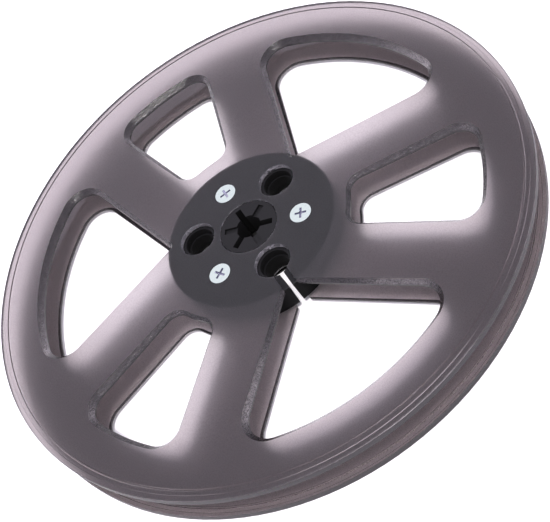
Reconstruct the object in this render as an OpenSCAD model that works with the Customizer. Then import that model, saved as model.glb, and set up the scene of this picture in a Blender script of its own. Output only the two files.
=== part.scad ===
// Empty plastic reel for quarter-inch audio tape, lying on its rear rim with the front face up.
// The origin is on the reel's axis, in the plane that the rear rim rests on. Sizes are in millimetres.

/* [Flanges] */
// Diameter of both flanges
flange_d = 178; // [170:0.5:190]
// Thickness of a flange over the hub
web_t = 1.65; // [1.4:0.05:2]
// How far a flange's outer face rises from the hub's edge to the rim
rim_lip = 0.85; // [0.5:0.05:1.2]
// Distance from a flange's edge to the groove in its rim
rim_w = 3.5; // [3:0.1:4.5]
// Width of the groove
groove_w = 0.7; // [0.5:0.05:0.9]
// Depth of the groove
groove_depth = 0.3; // [0.15:0.05:0.5]
// Width of the low land along a flange's edge
rim_land_w = 1.65; // [1.2:0.05:1.9]
// Height of the step down to the low land
rim_step = 0.12; // [0.05:0.01:0.3]
// Rounding of a flange's edge on the outer side
rim_round = 0.25; // [0.1:0.05:0.5]
// Distance between the flanges, for the tape's width and its clearance
tape_gap = 8.4; // [7.6:0.1:9.6]

/* [Windows] */
// Width of the solid band between a window and the flange's edge, on the outer face
rim_band = 13.9; // [10:0.1:16]
// Width of a spoke on the outer face
spoke_w = 18.2; // [14:0.1:19]
// Angle between a spoke and the middle of the small window beside it
spoke_angle = 15; // [13:0.5:17]
// Face left between the hub's edge and a small window
window_land = 4; // [2.5:0.1:6]
// Corner radius of a large window's wall at the rim
large_outer_r = 6.9; // [4:0.1:9]
// Corner radius of a large window's wall at the hub
large_inner_r = 1; // [0.8:0.1:2]
// Corner radius of a small window's wall at the rim
small_outer_r = 6.2; // [3:0.1:8]
// Corner radius of a small window's wall at the hub
small_inner_r = 4.8; // [2.5:0.1:5.5]
// Height of the upright wall around a window
window_wall = 0.75; // [0.5:0.05:1]
// Angle between the bevel above that wall and the reel's axis
bevel_angle = 45; // [42:0.5:48]

/* [Hub] */
// Diameter of the hub that the tape winds on
hub_d = 56.4; // [54:0.1:60]
// Rounding of the hub's upper and lower edges
hub_edge = 0.3; // [0.1:0.05:0.5]
// Width of the slit that holds the tape's end
slit_w = 1.4; // [1:0.05:2.2]
// Rounding of the slit's mouth at the hub's edge
slit_mouth_r = 0.5; // [0.3:0.05:1.2]
// Width of the threading slot in a flange
slot_w = 4.7; // [4.2:0.05:5.4]

/* [Holes] */
// Distance of the three holes from the reel's axis
hole_pitch_r = 17.4; // [17:0.05:18.2]
// Diameter of the three holes in a flange
flange_hole_d = 11.7; // [11:0.05:12]
// Diameter of the three holes in the hub
hub_hole_d = 9.5; // [8.6:0.05:10]
// Diameter of the inner ledge in each hub hole
ledge_d = 8.3; // [7:0.05:8.4]
// Depth of the inner ledge below the hub's face
ledge_depth = 2.4; // [1.5:0.1:3.2]

/* [Spindle bush] */
// Diameter of the bush
bush_d = 19.3; // [18.6:0.05:20]
// Diameter of the bore for the machine's spindle
bore_d = 8.1; // [8:0.02:8.3]
// Distance from the axis to the end of a key slot
key_slot_r = 8; // [7.2:0.05:8.4]
// Width of a key slot
key_slot_w = 2; // [1.6:0.05:2.05]
// Depth of the blind slots that lie between the key slots
key_recess = 0.8; // [0.2:0.05:1]
// Chamfer around each face of the bush
bush_chamfer = 0.25; // [0.1:0.05:0.4]
// How far the bush's faces lie below the flanges' outer faces
bush_sink = 0.15; // [0:0.05:0.4]
// Diameter of the bush's collar
collar_d = 22; // [21:0.1:23]
// Thickness of the bush's collar
collar_t = 1.5; // [1:0.1:2.5]

/* [Screws] */
// Distance of the screws from the reel's axis
screw_pitch_r = 17.4; // [16.8:0.05:18.2]
// Diameter of a screw's countersunk head
screw_head_d = 6.9; // [6.2:0.05:7.4]
// Height of a screw's countersunk head
screw_head_h = 1.35; // [1.1:0.05:1.4]
// Diameter of a screw's shank
screw_d = 3.5; // [3:0.05:4]
// Length of a screw
screw_len = 4.8; // [4:0.1:5.2]
// Span of the cross recess in a screw's head
cross_span = 3.8; // [3:0.05:4.2]
// Width of the cross recess's arms
cross_w = 0.75; // [0.5:0.05:1]
// Depth of the cross recess
cross_depth = 1; // [0.6:0.05:1.1]

/* [Fits] */
// Gap around the bush, the collar and the screws
fit_gap = 0.05; // [0.03:0.01:0.1]

/* [Hidden] */
$fn = 128;

// The colours of the pieces
smoke = [0.42, 0.39, 0.42, 0.72];
hub_grey = [0.16, 0.16, 0.17];
bush_grey = [0.24, 0.24, 0.25];
zinc = [0.82, 0.86, 0.88];

// Radii and heights that several pieces share
flange_r = flange_d/2;
rim_t = web_t + rim_lip;
hub_r = hub_d/2;
rear_inner_z = rim_t;
front_inner_z = rim_t + tape_gap;
reel_w = 2*rim_t + tape_gap;
rear_face_z = rim_lip;
front_face_z = reel_w - rim_lip;

// Three axes carry the small windows and the screws, and the three between them carry the large windows
// and the holes
copies = 3;
pitch = 360/copies;
small_axes = [for (i = [0 : copies - 1]) 90 + i*pitch];
large_axes = [for (i = [0 : copies - 1]) 270 + i*pitch];
slot_axis = large_axes[0];

// The outer face rises evenly from the hub's edge to the rim, so a bevel cut at one angle grows wider
// outwards. bevel_w gives its width at the distance r from the axis.
face_rise = rim_lip/(flange_r - rim_w - hub_r);
bevel_run = tan(bevel_angle);
function bevel_w(r) = (web_t + face_rise*(r - hub_r) - window_wall)*bevel_run;

// The outlines of the windows' walls, found from the windows' edges on the outer face. There a small window's
// sides point at the axis, and a large window's sides run beside them, a spoke's width away.
face_edge_r = flange_r - rim_band;
face_land_r = hub_r + window_land;
wall_turn = atan(face_rise*bevel_run);
window_r = face_edge_r - bevel_w(face_edge_r);
small_inner_arc_r = face_land_r + bevel_w(face_land_r);
large_slope = pitch/2 - spoke_angle - wall_turn;
large_offset = spoke_w + bevel_w(0);
small_slope = spoke_angle - wall_turn;
small_offset = bevel_w(0);

// Overlap of cutting shapes past the surface that they cut
over = 1;
// How far a facet of a window's rounded edges may lie from the true curve
facet_error = 0.02;

// Where the two walls of a large window's point have parted by the threading slot's width
slot_end_r = large_offset/sin(large_slope) + slot_w/2/tan(large_slope) + over;

// A window's corner circle touches its upper side, which is turned by slope and passes the axis at offset.
// rim_corner gives the circle whose centre is at centre_r from the axis, and point_corner the one in a point.
function turned(p, a) = [p[0]*cos(a) - p[1]*sin(a), p[0]*sin(a) + p[1]*cos(a)];
function rim_corner(slope, offset, corner_r, centre_r) =
    turned([sqrt(pow(centre_r, 2) - pow(offset + corner_r, 2)), -offset - corner_r], slope);
function point_corner(slope, offset, corner_r) = [(offset + corner_r)/sin(slope), 0];
function angle_of(p) = atan2(p[1], p[0]);
function flipped(p) = [p[0], -p[1]];

// Points along an arc, moved inwards by inset, with or without the last one
function arc_steps(r, turn) = ceil(abs(turn)*PI/180*r/sqrt(8*r*facet_error));
function arc(centre, r, inset, from, to, last) =
    let (n = arc_steps(r, to - from))
        [for (i = [0 : last ? n : n - 1])
            let (a = from + (to - from)*i/n)
                centre + (r - inset)*[cos(a), sin(a)]];

// Outline of a window with its middle along the x axis. An inner_arc_r of 0 gives a pointed inner end.
function window_outline(slope, offset, outer_r, inner_r, inner_arc_r, inset) =
    let (outer_c = rim_corner(slope, offset, outer_r, window_r - outer_r),
         inner_c = inner_arc_r > 0 ? rim_corner(slope, offset, inner_r, inner_arc_r + inner_r)
                                   : point_corner(slope, offset, inner_r),
         outer_a = angle_of(outer_c),
         inner_a = angle_of(inner_c),
         side_a = slope + 90)
        concat(arc([0, 0], window_r, inset, -outer_a, outer_a, false),
               arc(outer_c, outer_r, inset, outer_a, side_a, true),
               arc(inner_c, inner_r, inset, side_a, inner_a + 180, false),
               inner_arc_r > 0 ? arc([0, 0], inner_arc_r, -inset, inner_a, -inner_a, false) : [],
               arc(flipped(inner_c), inner_r, inset, 180 - inner_a, 360 - side_a, true),
               arc(flipped(outer_c), outer_r, inset, -side_a, -outer_a, false));

// A window's cutting shape through a flange that lies at height 0: an upright wall and a bevel above it
module window_cut(slope, offset, outer_r, inner_r, inner_arc_r) {
    top = rim_t + over;
    levels = [[-over, 0], [window_wall, 0], [top, -(top - window_wall)*bevel_run]];
    rings = [for (level = levels)
                [for (p = window_outline(slope, offset, outer_r, inner_r, inner_arc_r, level[1]))
                    [p[0], p[1], level[0]]]];
    n = len(rings[0]);
    last = n*(len(levels) - 1);
    sides = [for (k = [0 : len(levels) - 2], i = [0 : n - 1])
                let (j = (i + 1) % n)
                    [k*n + i, (k + 1)*n + i, (k + 1)*n + j, k*n + j]];
    polyhedron([for (ring = rings) each ring],
               concat([[for (i = [0 : n - 1]) i]], sides, [[for (i = [n - 1 : -1 : 0]) last + i]]),
               convexity = 4);
}

// The flange's section from the reel's axis to its rim, with the inner face at height 0
module flange_section() {
    groove_in = flange_r - rim_w;
    groove_out = groove_in + groove_w;
    groove_side = groove_w/4;
    groove_z = rim_t - groove_depth;
    land_in = flange_r - rim_land_w;
    land_z = rim_t - rim_step;
    edge_in = flange_r - rim_round;
    polygon([[0, 0], [flange_r, 0], [flange_r, land_z - rim_round], [edge_in, land_z],
             [land_in + rim_step, land_z], [land_in, rim_t], [groove_out, rim_t],
             [groove_out - groove_side, groove_z], [groove_in + groove_side, groove_z],
             [groove_in, rim_t], [hub_r, web_t], [0, web_t]]);
    translate([edge_in, land_z - rim_round])
        circle(rim_round);
}

// A flange with its inner face at height 0 and its outer face above
module flange() {
    difference() {
        rotate_extrude()
            flange_section();
        for (a = large_axes)
            rotate([0, 0, a])
                window_cut(large_slope, large_offset, large_outer_r, large_inner_r, 0);
        for (a = small_axes)
            rotate([0, 0, a])
                window_cut(small_slope, small_offset, small_outer_r, small_inner_r, small_inner_arc_r);
        translate([0, 0, -over])
            cylinder(h = web_t + 2*over, d = bush_d + 2*fit_gap);
        for (a = large_axes)
            rotate([0, 0, a])
                translate([hole_pitch_r, 0, -over])
                    cylinder(h = web_t + 2*over, d = flange_hole_d);
        rotate([0, 0, slot_axis])
            translate([hole_pitch_r, -slot_w/2, -over])
                cube([slot_end_r - hole_pitch_r, slot_w, web_t + 2*over]);
        for (a = small_axes)
            rotate([0, 0, a])
                translate([screw_pitch_r, 0, web_t])
                    screw_seat();
    }
}

// The countersunk hole that a screw's head and shank lie in, with the flange's outer face at height 0
module screw_seat() {
    translate([0, 0, -web_t - over])
        cylinder(h = web_t + over, d = screw_d + 2*fit_gap);
    translate([0, 0, -screw_head_h])
        cylinder(h = screw_head_h, d1 = screw_d + 2*fit_gap, d2 = screw_head_d + 2*fit_gap);
    cylinder(h = over, d = screw_head_d + 2*fit_gap);
}

module front_flange() {
    color(smoke)
        translate([0, 0, front_inner_z])
            flange();
}

module rear_flange() {
    color(smoke)
        translate([0, 0, rear_inner_z])
            mirror([0, 0, 1])
                flange();
}

// The hub's section, with rounded edges above and below
module hub_section() {
    edge_in = hub_r - hub_edge;
    polygon([[0, 0], [edge_in, 0], [hub_r, hub_edge], [hub_r, tape_gap - hub_edge],
             [edge_in, tape_gap], [0, tape_gap]]);
    for (z = [hub_edge, tape_gap - hub_edge])
        translate([edge_in, z])
            circle(hub_edge);
}

// The slit's outline with its mouth opened by a rounding on each side, along the x axis
module slit_outline() {
    mouth_y = slit_w/2 + slit_mouth_r;
    mouth_x = sqrt(pow(hub_r - slit_mouth_r, 2) - pow(mouth_y, 2));
    translate([hole_pitch_r, -slit_w/2])
        square([hub_r - hole_pitch_r + over, slit_w]);
    difference() {
        translate([mouth_x, -mouth_y])
            square([hub_r - mouth_x + over, 2*mouth_y]);
        for (side = [-1, 1])
            translate([mouth_x, side*mouth_y])
                circle(slit_mouth_r);
    }
}

module hub() {
    pilot_depth = screw_len - web_t + 2*fit_gap;
    color(hub_grey)
        translate([0, 0, rear_inner_z])
            difference() {
                rotate_extrude()
                    hub_section();
                translate([0, 0, -over])
                    cylinder(h = tape_gap + 2*over, d = bush_d + 2*fit_gap);
                translate([0, 0, tape_gap - collar_t - fit_gap])
                    cylinder(h = collar_t + fit_gap + over, d = collar_d + 2*fit_gap);
                for (a = large_axes)
                    rotate([0, 0, a])
                        translate([hole_pitch_r, 0, 0])
                            hub_hole();
                rotate([0, 0, slot_axis])
                    translate([0, 0, -over])
                        linear_extrude(tape_gap + 2*over)
                            slit_outline();
                for (a = small_axes)
                    rotate([0, 0, a])
                        translate([screw_pitch_r, 0, 0])
                            for (z = [-over, tape_gap - pilot_depth])
                                translate([0, 0, z])
                                    cylinder(h = pilot_depth + over, d = screw_d + 2*fit_gap);
            }
}

// A hole through the hub, wide at both faces and narrower at its ledge
module hub_hole() {
    translate([0, 0, -over])
        cylinder(h = tape_gap + 2*over, d = ledge_d);
    for (z = [-over, tape_gap - ledge_depth])
        translate([0, 0, z])
            cylinder(h = ledge_depth + over, d = hub_hole_d);
}

// A bar from the axis outwards, as a key slot's cutting shape
module key_bar(height) {
    translate([0, -key_slot_w/2, 0])
        cube([key_slot_r, key_slot_w, height]);
}

module spindle_bush() {
    low = rear_face_z + bush_sink;
    high = front_face_z - bush_sink;
    body_r = bush_d/2;
    color(bush_grey)
        difference() {
            union() {
                translate([0, 0, low])
                    cylinder(h = bush_chamfer, r1 = body_r - bush_chamfer, r2 = body_r);
                translate([0, 0, low + bush_chamfer])
                    cylinder(h = high - low - 2*bush_chamfer, r = body_r);
                translate([0, 0, high - bush_chamfer])
                    cylinder(h = bush_chamfer, r1 = body_r, r2 = body_r - bush_chamfer);
                translate([0, 0, front_inner_z - collar_t])
                    cylinder(h = collar_t, d = collar_d);
            }
            translate([0, 0, low - over])
                cylinder(h = high - low + 2*over, d = bore_d);
            for (a = small_axes)
                rotate([0, 0, a])
                    translate([0, 0, low - over])
                        key_bar(high - low + 2*over);
            for (a = large_axes)
                rotate([0, 0, a])
                    for (z = [low - over, high - key_recess])
                        translate([0, 0, z])
                            key_bar(key_recess + over);
        }
}

// A countersunk screw with a cross recess, its head's face at height 0 and its tip below
module screw() {
    tip = screw_d/4;
    color(zinc)
        difference() {
            union() {
                translate([0, 0, -screw_head_h])
                    cylinder(h = screw_head_h, d1 = screw_d, d2 = screw_head_d);
                translate([0, 0, -screw_len + tip])
                    cylinder(h = screw_len - screw_head_h - tip, d = screw_d);
                translate([0, 0, -screw_len])
                    cylinder(h = tip, d1 = screw_d - 2*tip, d2 = screw_d);
            }
            for (a = [0, 90])
                rotate([0, 0, a])
                    translate([-cross_span/2, -cross_w/2, -cross_depth])
                        cube([cross_span, cross_w, cross_depth + over]);
            translate([0, 0, -cross_depth])
                cylinder(h = cross_depth + over, d1 = cross_w, d2 = 2.4*cross_w);
        }
}

module front_screw(index) {
    rotate([0, 0, small_axes[index - 1]])
        translate([screw_pitch_r, 0, front_face_z])
            screw();
}

module rear_screw(index) {
    rotate([0, 0, small_axes[index - 1]])
        translate([screw_pitch_r, 0, rear_face_z])
            mirror([0, 0, 1])
                screw();
}

front_flange();
rear_flange();
hub();
spindle_bush();
front_screw(1);  // front_screw_1
front_screw(2);  // front_screw_2
front_screw(3);  // front_screw_3
rear_screw(1);  // rear_screw_1
rear_screw(2);  // rear_screw_2
rear_screw(3);  // rear_screw_3
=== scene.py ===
# %% [markdown]
# # An empty audio tape reel
#
# The reel has two smoked, frosted plastic flanges with bevelled windows, a dark hub between them
# that the tape winds on, a keyed bush for the machine's spindle, and three countersunk screws in
# each flange. Its solids come from the part's own model, in metres, and could be remodelled here,
# but they already have the real shape, so this notebook only gives them a camera, their light and
# their surfaces.

# %% Load the reel
import math

import bpy
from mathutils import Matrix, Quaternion, Vector


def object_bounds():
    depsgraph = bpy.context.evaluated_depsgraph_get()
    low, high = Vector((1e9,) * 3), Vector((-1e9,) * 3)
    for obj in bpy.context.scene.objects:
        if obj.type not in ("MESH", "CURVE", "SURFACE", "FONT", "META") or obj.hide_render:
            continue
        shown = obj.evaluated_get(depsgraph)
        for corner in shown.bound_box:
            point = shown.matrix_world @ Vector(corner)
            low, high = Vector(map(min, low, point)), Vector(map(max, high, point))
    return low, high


MM = 0.001
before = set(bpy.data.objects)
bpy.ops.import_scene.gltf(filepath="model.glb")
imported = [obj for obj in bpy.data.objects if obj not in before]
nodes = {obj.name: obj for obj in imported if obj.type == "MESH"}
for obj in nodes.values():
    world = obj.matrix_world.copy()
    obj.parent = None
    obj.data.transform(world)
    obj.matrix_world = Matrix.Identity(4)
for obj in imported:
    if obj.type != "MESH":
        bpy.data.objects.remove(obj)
solid_low, solid_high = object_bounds()
print("pieces:", ", ".join(nodes))
print("lowest corner", [round(v/MM, 2) for v in solid_low], "mm")
print("highest corner", [round(v/MM, 2) for v in solid_high], "mm")

# %% [markdown]
# ## The camera
#
# The photograph looks down on the reel at about 47 degrees, from the side that the threading slot
# points to, and the picture is turned, so the reel's axis leans to the upper left. A camera can be
# placed by its angles or by two points. Two points and a roll are easiest to read: where it is,
# what it looks at, and how far it is turned.

# %% Place the camera
CAMERA_AT = Vector((13.0, -269.2, 284.3))*MM
CAMERA_AIM = Vector((0.3, -12.8, 6.7))*MM
CAMERA_ROLL = math.radians(-39.05)
CAMERA_LENS = 82.6
SENSOR_WIDTH = 36
NEAREST_SEEN = 10*MM
FARTHEST_SEEN = 10

camera_data = bpy.data.cameras.new("camera")
camera_data.lens = CAMERA_LENS
camera_data.sensor_width = SENSOR_WIDTH
camera_data.clip_start = NEAREST_SEEN
camera_data.clip_end = FARTHEST_SEEN
camera = bpy.data.objects.new("camera", camera_data)
bpy.context.scene.collection.objects.link(camera)
camera.location = CAMERA_AT
camera.rotation_mode = "QUATERNION"
gaze = (CAMERA_AIM - CAMERA_AT).to_track_quat("-Z", "Y")
camera.rotation_quaternion = gaze @ Quaternion((0, 0, 1), CAMERA_ROLL)
bpy.context.scene.camera = camera
print("camera", round((CAMERA_AIM - CAMERA_AT).length/MM), "mm from the reel")

# %% [markdown]
# ## The white sheet
#
# The reel lies on a white sheet without an edge or a horizon in sight. A curved studio backdrop
# would do as well, but the camera looks down steeply, so one large flat plane is enough. It lies a
# hair under the rear flange, so the two surfaces never fight for the same place.

# %% Lay the white sheet
SHEET_SIZE = 4.0
SHEET_GAP = 0.05*MM

bpy.ops.mesh.primitive_plane_add(size=SHEET_SIZE, location=(0, 0, solid_low.z - SHEET_GAP))
floor = bpy.context.object
floor.name = "floor"
print("sheet", SHEET_SIZE, "m wide, at height", round(floor.location.z/MM, 2), "mm")

# %% [markdown]
# ## The light
#
# The sheet is lit so strongly that it comes out pure white, and the flanges let this light
# through, so the light matters more than any colour of theirs. Several lamps would each add a
# shadow and a spot of their own. An even sky lights the reel from all sides, also between its
# flanges, and one soft lamp, high on the viewer's side, brightens the sheet and the screws and
# throws its shadows away from the viewer.

# %% Light the reel
SKY_STRENGTH = 1.22
SKY_COLOUR = (0.99, 0.94, 1.10, 1)
LAMP_STRENGTH = 2.8
LAMP_COLOUR = (1.0, 0.96, 0.96)
LAMP_ANGLE = math.radians(8)
LAMP_FROM = Vector((0.01, -0.42, 1.0))
STRAIGHT_UP = Vector((0, 0, 1))

world = bpy.data.worlds.new("sky")
bpy.context.scene.world = world
world.use_nodes = True
sky = world.node_tree.nodes["Background"]
sky.inputs["Color"].default_value = SKY_COLOUR
sky.inputs["Strength"].default_value = SKY_STRENGTH

lamp_data = bpy.data.lights.new("lamp", "SUN")
lamp_data.angle = LAMP_ANGLE
lamp_data.energy = LAMP_STRENGTH
lamp_data.color = LAMP_COLOUR
lamp = bpy.data.objects.new("lamp", lamp_data)
bpy.context.scene.collection.objects.link(lamp)
lamp.location = LAMP_FROM
lamp.rotation_mode = "QUATERNION"
lamp.rotation_quaternion = (-LAMP_FROM).to_track_quat("-Z", "Y")
bpy.context.scene.view_settings.view_transform = "Standard"
print("lamp", round(math.degrees(LAMP_FROM.angle(STRAIGHT_UP))), "degrees off the vertical")

# %% [markdown]
# ## Shader maths
#
# A material's nodes can be wired by hand, one link at a time, but a formula is shorter and easier
# to check. A Wire wraps one output socket, and Python's own signs on it add Math nodes. The signs
# also work with a plain number on their left, as in 1 - mask.

# %% Make wires that can be reckoned with
class Wire:
    """An output socket that Python's own signs work on."""

    def __init__(self, paint, socket):
        self.paint = paint
        self.socket = socket

    def math(self, operation, *values):
        return self.paint.node("ShaderNodeMath", {"operation": operation}, dict(enumerate(values)))

    def __add__(self, other):
        return self.math("ADD", self, other)

    def __radd__(self, other):
        return self.math("ADD", other, self)

    def __sub__(self, other):
        return self.math("SUBTRACT", self, other)

    def __rsub__(self, other):
        return self.math("SUBTRACT", other, self)

    def __mul__(self, other):
        return self.math("MULTIPLY", self, other)

    def __rmul__(self, other):
        return self.math("MULTIPLY", other, self)

    def __gt__(self, other):
        return self.math("GREATER_THAN", self, other)

    def __lt__(self, other):
        return self.math("LESS_THAN", self, other)

    def __abs__(self):
        return self.math("ABSOLUTE", self)


print("a wire knows", ", ".join(name for name, made in vars(Wire).items() if callable(made)))

# %% [markdown]
# ## Paint
#
# Every other node comes from one method. It could be one function for each kind of node, but they
# all need the same three things: the node's type, its settings, which are set first, and the
# values or wires of its sockets. Sockets that share a name are picked by their number.

# %% Make a pot of paint
class Paint:
    """One material, whose nodes are all made by one method."""

    def __init__(self, name):
        self.material = bpy.data.materials.new(name)
        self.material.use_nodes = True
        self.tree = self.material.node_tree
        self.tree.nodes.clear()

    def node(self, kind, settings=None, inputs=None, out=0):
        """Add a node, and hand back the output of this number or name."""
        made = self.tree.nodes.new(kind)
        for name, value in (settings or {}).items():
            setattr(made, name, value)
        for name, value in (inputs or {}).items():
            if isinstance(value, Wire):
                self.tree.links.new(value.socket, made.inputs[name])
            else:
                made.inputs[name].default_value = value
        return Wire(self, made.outputs[out]) if made.outputs else made

    def finish(self, surface, volume=None):
        """Wire the shaders to the output, and hand back the material."""
        sockets = {"Surface": surface}
        if volume:
            sockets["Volume"] = volume
        self.node("ShaderNodeOutputMaterial", inputs=sockets)
        print(self.material.name, "is made of", len(self.tree.nodes), "nodes")
        return self.material


print("a paint knows", ", ".join(name for name, made in vars(Paint).items() if callable(made)))

# %% [markdown]
# ## Grains and blends
#
# Moulded plastic, plated steel and paper all have a fine unevenness. A picture of it would have a
# fixed size and visible repeats. Noise has neither, and its lumps are set in metres, like the
# reel. Two numbers are blended by a formula, but two colours need a Mix node, because a Math node
# turns a colour grey.

# %% Make grains and blends
GRAIN_DETAIL = 2
GRAIN_MEAN = 0.5
FIRST_COLOUR = 6
SECOND_COLOUR = 7
BLENDED_COLOUR = 2


def place_on(paint):
    """Where a point lies, in metres, in its own object's frame."""
    return paint.node("ShaderNodeTexCoord", out="Object")


def grain(paint, size, detail=GRAIN_DETAIL):
    """Soft random values around GRAIN_MEAN, in lumps of about this size in metres."""
    noise = {"Vector": place_on(paint), "Scale": 1/size, "Detail": detail}
    return paint.node("ShaderNodeTexNoise", inputs=noise)


def stretch(value, low, high):
    """0 where the value is below low, 1 where it is above high, and a slope in between."""
    limits = {"Value": value, "From Min": low, "From Max": high}
    return value.paint.node("ShaderNodeMapRange", inputs=limits)


def between(share, first, second):
    """A number that goes from the first to the second as share goes from 0 to 1."""
    return first + (second - first)*share


def blend(share, first, second):
    """A colour that goes from the first to the second as share goes from 0 to 1."""
    colours = {"Factor": share, FIRST_COLOUR: first, SECOND_COLOUR: second}
    return share.paint.node("ShaderNodeMix", {"data_type": "RGBA"}, colours, out=BLENDED_COLOUR)


print("halfway between 2 and 4 is", between(0.5, 2, 4))

# %% [markdown]
# ## Places and leans
#
# A mould or a tool gives each kind of face its own finish. The faces could be told apart by slots
# in the mesh, but the solids stay as they came. The place of a point and the direction that its
# face looks in, both in the reel's own frame, tell the faces apart just as well, and they stay the
# same from whichever side the reel is seen.

# %% Measure places and leans
def upward(vector):
    """The height in a place, or the upward share of a direction."""
    return vector.paint.node("ShaderNodeSeparateXYZ", inputs={"Vector": vector}, out="Z")


def distance(vector):
    """How far a place is from the origin."""
    length = {"operation": "LENGTH"}
    return vector.paint.node("ShaderNodeVectorMath", length, {0: vector}, out="Value")


def lean_on(paint):
    """1 on a level face, 0.7 on a bevel of 45 degrees and 0 on an upright wall."""
    facing = paint.node("ShaderNodeTexCoord", out="Normal")
    return abs(upward(facing))


print("a bevel of 45 degrees leans", round(math.cos(math.radians(45)), 2))

# %% [markdown]
# ## The faces of a flange
#
# A flange has a frosted outer face, a polished inner face, bevelled windows, upright walls and,
# near the hub, holes with rough walls. Each could have a material of its own, but one material
# with masks keeps the flange in one piece. A mask is 1 on the faces that it picks and 0 elsewhere.
# Its limits come from the solids: the inner faces lie 4.2 mm from the reel's middle height, the
# holes end within 24 mm of the axis, and the rim begins about 80 mm from it.

# %% Tell the faces of a flange apart
SKIN_GRAIN = 0.35*MM
MIDDLE_Z = 6.7*MM
INNER_FACES = 4.3*MM
LEVEL_LEAN = 0.95
WALL_LEAN = 0.3
HUB_REACH = 24*MM
RIM_REACH = 80*MM
SIDEWAYS = (1, 1, 0)

smoked = Paint("smoked_plastic")
skin = grain(smoked, SKIN_GRAIN)
place = place_on(smoked)
height = upward(place)
flat = smoked.node("ShaderNodeVectorMath", {"operation": "MULTIPLY"}, {0: place, 1: SIDEWAYS})
radius = distance(flat)
outer = abs(height - MIDDLE_Z) > INNER_FACES
lean = lean_on(smoked)
level = lean > LEVEL_LEAN
wall = lean < WALL_LEAN
hole_wall = wall*(radius < HUB_REACH)
rim = radius > RIM_REACH
print("level faces slope less than", round(math.degrees(math.acos(LEVEL_LEAN))), "degrees")
print("walls slope more than", round(math.degrees(math.acos(WALL_LEAN))), "degrees")

# %% [markdown]
# ## Frost
#
# The frosted skin scatters light. A milky colour could stand in for it, but then nothing would
# show through. A rough surface on clear plastic blurs what lies far behind it and leaves what
# touches it sharp, just as the real skin does to the hub and to the far flange. The bevels are
# smoother, with a coarser grain that sparkles, so they get their own roughness and relief.

# %% Roughen the plastic
FROST = 0.40
SLOPE_FROST = 0.15
RIM_FROST = 0.35
WALL_FROST = 0.6
FROST_SPREAD = 0.10
POLISH = 0.07
SLOPE_GRAIN = 0.5*MM
SLOPE_LOW = 0.4
SLOPE_HIGH = 0.6
SKIN_RELIEF = 0.7
SLOPE_RELIEF = 0.35
SKIN_DEPTH = 0.08*MM

slope_frost = between(rim, SLOPE_FROST, RIM_FROST)
frost = between(level, slope_frost, FROST)
rough = between(outer, POLISH, frost + FROST_SPREAD*(skin - GRAIN_MEAN))
coarse = stretch(grain(smoked, SLOPE_GRAIN), SLOPE_LOW, SLOPE_HIGH)
bump = smoked.node("ShaderNodeBump", inputs={
    "Strength": SKIN_RELIEF,
    "Distance": SKIN_DEPTH,
    "Height": outer*(skin + SLOPE_RELIEF*coarse*(1 - level))})
print("skin grain", round(SKIN_GRAIN/MM, 2), "mm, bevel grain", round(SLOPE_GRAIN/MM, 2), "mm")

# %% [markdown]
# ## The tint of each face
#
# On see-through plastic, Base Color is a filter that light passes on its way in and again on its
# way out. The flat faces are nearly clear, with fine speckles in the frost. The bevels look much
# darker in the photograph, because they turn the light away, and a dark, uneven painted shade on
# them is a steadier way to show this than hoping for the right reflections. The upright walls get
# a nearly black painted shade.

# %% Tint the plastic
SPECKLE_LOW = 0.35
SPECKLE_HIGH = 0.65
SMOKE_LIGHT = (0.97, 0.95, 0.97, 1)
SMOKE_DARK = (0.74, 0.72, 0.74, 1)
# Painted shade on the bevels, speckled between these two colours.
BEVEL_PAINTED_SHADE_PALE = (0.22, 0.21, 0.22, 1)
BEVEL_PAINTED_SHADE_DEEP = (0.03, 0.03, 0.03, 1)
# A nearly black painted shade for the upright walls.
WALL_PAINTED_SHADE = (0.04, 0.036, 0.04, 1)

face = blend(stretch(skin, SPECKLE_LOW, SPECKLE_HIGH), SMOKE_DARK, SMOKE_LIGHT)
# The bevels get a dark, speckled painted shade.
bevel = blend(coarse, BEVEL_PAINTED_SHADE_DEEP, BEVEL_PAINTED_SHADE_PALE)
# Upright walls other than the holes' get the nearly black painted shade.
slope = blend(wall*(1 - hole_wall), blend(rim, bevel, SMOKE_LIGHT), WALL_PAINTED_SHADE)
tint = blend((1 - level)*(1 - hole_wall), face, slope)
print("the tint takes the paint to", len(smoked.tree.nodes), "nodes")

# %% [markdown]
# ## Dull walls
#
# The upright walls of the windows, the holes and the rim are dull and a little scraped. Clear
# plastic alone would mirror the bright sheet in them, because a surface seen at a grazing angle
# reflects almost everything. More roughness doesn't cure that, so a second, dull shader lies half
# over each wall, and over the holes' walls in grainy patches. On the walls of the windows and the
# rim this shader is nearly black, a painted shade; on the holes' walls it is a paler grey.

# %% Dull the upright walls
PLASTIC_IOR = 1.49
ALL_CLEAR = 1.0
HOLE_GREY = (0.34, 0.33, 0.35, 1)
# A nearly black painted shade for the walls of the windows and the rim.
WALL_COVER_PAINTED_SHADE = (0.03, 0.027, 0.03, 1)
WALL_GLOSS = 0.15
HOLE_COVER = 0.9
WALL_DULL_AND_SHADE_SHARE = 0.5

clear = smoked.node("ShaderNodeBsdfPrincipled", inputs={
    "Base Color": tint,
    "Roughness": between(hole_wall, rough, WALL_FROST),
    "IOR": PLASTIC_IOR,
    "Transmission Weight": ALL_CLEAR,
    "Normal": bump})
# On the walls of the windows and the rim, the dull shader carries painted shade.
dull = smoked.node("ShaderNodeBsdfPrincipled", inputs={
    "Base Color": blend(hole_wall, WALL_COVER_PAINTED_SHADE, HOLE_GREY),
    "Roughness": WALL_FROST,
    "Specular IOR Level": WALL_GLOSS,
    "Normal": bump})
cover = wall*between(hole_wall, WALL_DULL_AND_SHADE_SHARE, HOLE_COVER*coarse)
surface = smoked.node("ShaderNodeMixShader", inputs={0: cover, 1: clear, 2: dull})
print("the dull cover takes the paint to", len(smoked.tree.nodes), "nodes")

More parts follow.
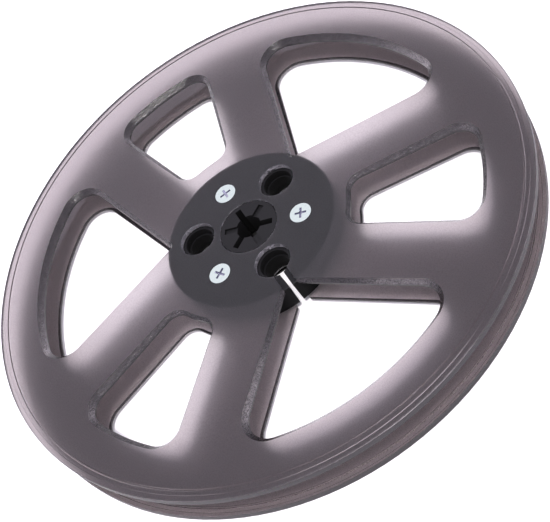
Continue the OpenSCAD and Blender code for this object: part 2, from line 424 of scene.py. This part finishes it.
# %% [markdown]
# ## Smoke
#
# The grey-violet smoke is in the plastic and not on it. A grey surface would be equally dark at
# every thickness. A volume that absorbs lets less light through where the plastic is thick, and
# two flanges, one above the other, look much darker than one.

# %% Fill the plastic with smoke
SMOKE_ABSORBS = (0.60, 0.557, 0.553, 1)
SMOKE_DENSITY = 660
RIM_THICKNESS = 2.5*MM

smoke = smoked.node("ShaderNodeVolumeAbsorption", inputs={
    "Color": SMOKE_ABSORBS, "Density": SMOKE_DENSITY})
smoked_plastic = smoked.finish(surface, smoke)
passed = [math.exp((kept - 1)*SMOKE_DENSITY*RIM_THICKNESS) for kept in SMOKE_ABSORBS[:3]]
print("the rim lets through", [round(share, 2) for share in passed], "of red, green and blue")

# %% [markdown]
# ## The dark plastics
#
# The hub and the bush are moulded in an opaque, almost black plastic with a fine, dull skin. One
# black would do for both, but the bush is a shade lighter and rougher, so one function makes both
# from a few values. In the photograph the slots and bores are quite black, so the upright walls
# get a nearly black painted shade and are rougher than the faces.

# %% Paint the dark plastics
HUB_COLOUR = (0.004, 0.004, 0.0045, 1)
HUB_ROUGHNESS = 0.5
HUB_GLOSS = 0.2
HUB_GRAIN = 0.6*MM
BUSH_COLOUR = (0.006, 0.006, 0.0065, 1)
BUSH_ROUGHNESS = 0.6
BUSH_GLOSS = 0.18
BUSH_GRAIN = 0.4*MM
# A nearly black painted shade for the upright walls of the hub and the bush.
DARK_PLASTIC_PAINTED_SHADE = (0.001, 0.001, 0.001, 1)
DEEP_ROUGHNESS = 0.9
DARK_DETAIL = 3
DARK_RELIEF = 0.2
DARK_DEPTH = 0.02*MM
DARK_LIFT = 1.25
DARK_SPREAD = 0.1


def dark_plastic(name, colour, roughness, gloss, grain_size):
    """An opaque plastic with a fine skin, whose upright walls get painted shade and more
    roughness.
    """
    paint = Paint(name)
    skin = grain(paint, grain_size, DARK_DETAIL)
    bump = paint.node("ShaderNodeBump", inputs={
        "Strength": DARK_RELIEF, "Distance": DARK_DEPTH, "Height": skin})
    wall = lean_on(paint) < WALL_LEAN
    lifted = tuple(DARK_LIFT*share for share in colour[:3]) + (1,)
    # Upright walls get the nearly black painted shade.
    surface = paint.node("ShaderNodeBsdfPrincipled", inputs={
        "Base Color": blend(wall, blend(skin, colour, lifted), DARK_PLASTIC_PAINTED_SHADE),
        "Roughness": between(wall, roughness, DEEP_ROUGHNESS) + DARK_SPREAD*(skin - GRAIN_MEAN),
        "Specular IOR Level": gloss,
        "Normal": bump})
    return paint.finish(surface)


hub_plastic = dark_plastic("hub_plastic", HUB_COLOUR, HUB_ROUGHNESS, HUB_GLOSS, HUB_GRAIN)
bush_plastic = dark_plastic("bush_plastic", BUSH_COLOUR, BUSH_ROUGHNESS, BUSH_GLOSS, BUSH_GRAIN)

# %% [markdown]
# ## Zinc-plated steel
#
# The screws are zinc plated, with pale, faintly green clouds in the plating. Polished metal would
# have to mirror a room that isn't there, so this one is half rough and catches the lamp instead.
# The crosses lie below the heads, where little light gets in, and a mask by height darkens them.

# %% Paint the zinc
ZINC_LIGHT = (0.66, 0.755, 0.68, 1)
ZINC_DARK = (0.52, 0.60, 0.55, 1)
ZINC_DEEP = (0.42, 0.42, 0.50, 1)
ZINC_ROUGHNESS = 0.30
ZINC_SPREAD = 0.15
CLOUD_SIZE = 0.8*MM
CLOUD_DETAIL = 3
HEAD_FACES = 5.75*MM
ALL_METAL = 1.0

zinc = Paint("zinc_steel")
clouds = grain(zinc, CLOUD_SIZE, CLOUD_DETAIL)
head = abs(upward(place_on(zinc)) - MIDDLE_Z) > HEAD_FACES
zinc_steel = zinc.finish(zinc.node("ShaderNodeBsdfPrincipled", inputs={
    "Base Color": blend(head, ZINC_DEEP, blend(clouds, ZINC_LIGHT, ZINC_DARK)),
    "Metallic": ALL_METAL,
    "Roughness": ZINC_ROUGHNESS + ZINC_SPREAD*clouds}))

# %% [markdown]
# ## Putting the paints on
#
# Every solid came with one plain material. A new object could stand in for it, but only its
# surface has to change, so its slot is emptied and gets the new material.

# %% Put the paints on the pieces
def wear(names, material):
    """Give these pieces this material."""
    for name in names:
        slots = nodes[name].data.materials
        slots.clear()
        slots.append(material)
    print(material.name, "on", ", ".join(names))


wear(["front_flange", "rear_flange"], smoked_plastic)
wear(["hub"], hub_plastic)
wear(["spindle_bush"], bush_plastic)
wear([name for name in nodes if "screw" in name], zinc_steel)

# %% [markdown]
# ## The sheet's surface
#
# The sheet is matt white paper with faint fibres. In the photograph it is burnt out to pure white.
# Stronger light alone would wash out the reel too, so the sheet also glows a little. Only under
# the bush is it dark, a round patch of painted shade, because no light shows through the spindle's
# bore in the photograph.

# %% Paint the sheet
SHEET_COLOUR = (0.92, 0.92, 0.92, 1)
SHEET_GLOW = 0.08
SHEET_ROUGHNESS = 0.8
SHEET_SPREAD = 0.1
SHEET_GLOSS = 0.2
FIBRE_SIZE = 2*MM
# A round patch of painted shade under the bush, without glow.
SHADE_COLOUR = (0.01, 0.01, 0.01, 1)
SHADE_REACH = 12*MM

sheet = Paint("white_sheet")
fibres = grain(sheet, FIBRE_SIZE)
open_sheet = distance(place_on(sheet)) > SHADE_REACH
sheet_colour_and_shade = blend(open_sheet, SHADE_COLOUR, SHEET_COLOUR)
floor.data.materials.append(sheet.finish(sheet.node("ShaderNodeBsdfPrincipled", inputs={
    "Base Color": sheet_colour_and_shade,
    "Roughness": SHEET_ROUGHNESS + SHEET_SPREAD*fibres,
    "Specular IOR Level": SHEET_GLOSS,
    "Emission Color": sheet_colour_and_shade,
    "Emission Strength": SHEET_GLOW})))

# %% [markdown] A material can't change a size, so the dressed reel is as large as its solids.
